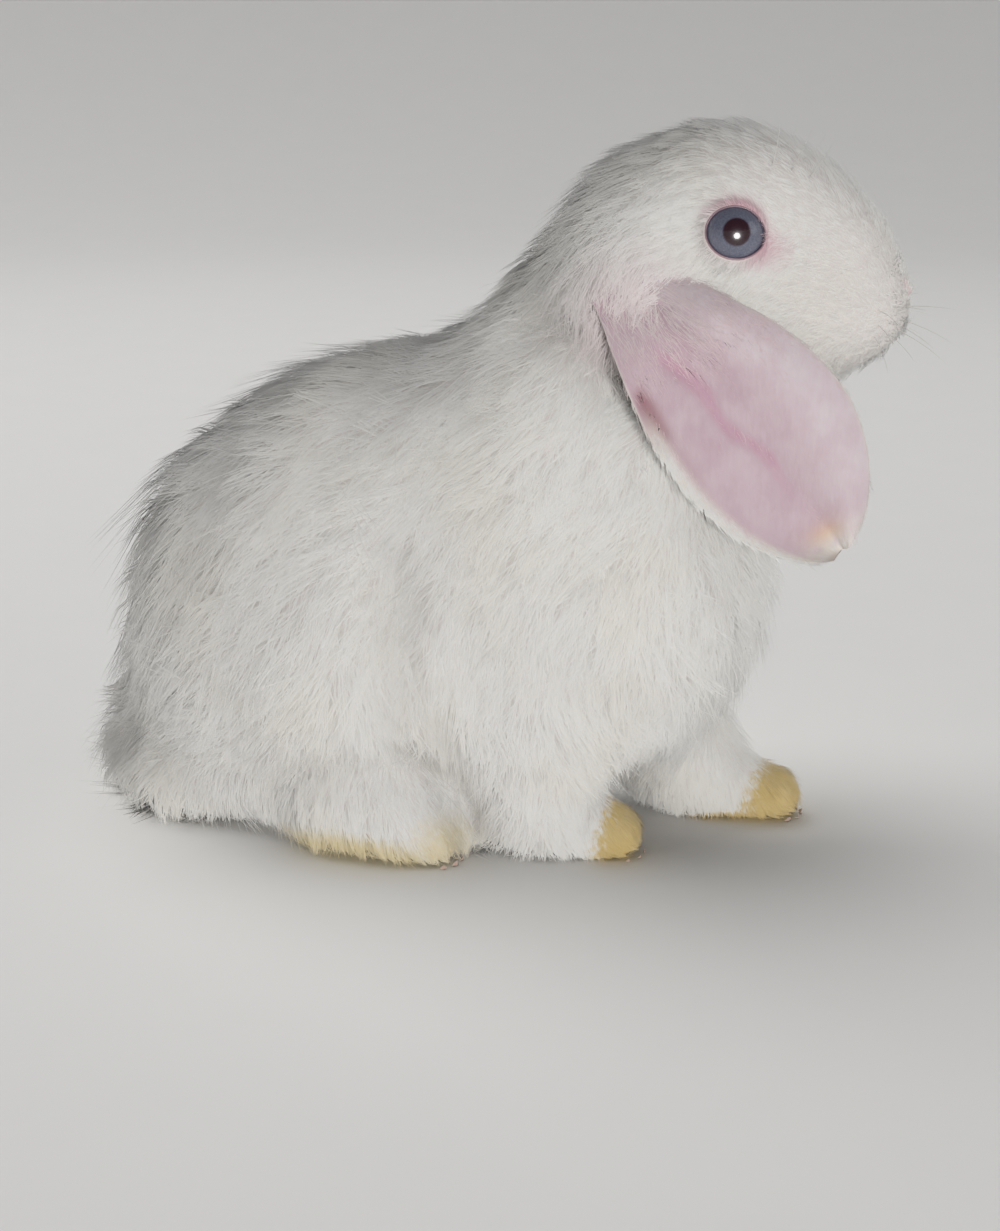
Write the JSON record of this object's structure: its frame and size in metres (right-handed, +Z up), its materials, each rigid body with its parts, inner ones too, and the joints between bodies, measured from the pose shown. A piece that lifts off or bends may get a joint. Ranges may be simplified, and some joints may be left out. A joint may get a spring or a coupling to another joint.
{
  "type": "lop rabbit",
  "caption": "Life-size still model of a young white lop-eared rabbit, sitting up on straight forelegs with its head raised.",
  "frame": {"origin": "on the ground, in the middle of the box round the rabbit", "axes": "+Z up, -Y the way the body faces, +X the rabbit's left"},
  "size_m": [0.0904, 0.186, 0.1558],
  "materials": {
    "coat": "long soft white fur",
    "stained_coat": "short white fur, stained ochre at the toes",
    "ear": "thin pink skin with a short white coat outside and at the rim",
    "eye": "wet, clear over a grey-blue iris and a dark pupil",
    "claw": "pale horn"
  },
  "bodies": {
    "root": {"head": "coat", "neck": "coat", "tail": "coat", "hind_foot_right": "stained_coat", "haunch_right": "coat", "forepaw_right": "stained_coat", "foreleg_right": "coat", "hind_foot_left": "stained_coat", "haunch_left": "coat", "forepaw_left": "stained_coat", "foreleg_left": "coat", "trunk": "coat", "eye_right": "eye", "ear_right": "ear", "claw_fore_right_1": "claw", "claw_fore_right_2": "claw", "claw_fore_right_3": "claw", "claw_fore_right_4": "claw", "claw_hind_right_1": "claw", "claw_hind_right_2": "claw", "claw_hind_right_3": "claw", "claw_hind_right_4": "claw", "eye_left": "eye", "ear_left": "ear", "claw_fore_left_1": "claw", "claw_fore_left_2": "claw", "claw_fore_left_3": "claw", "claw_fore_left_4": "claw", "claw_hind_left_1": "claw", "claw_hind_left_2": "claw", "claw_hind_left_3": "claw", "claw_hind_left_4": "claw"}
  },
  "joints": []
}
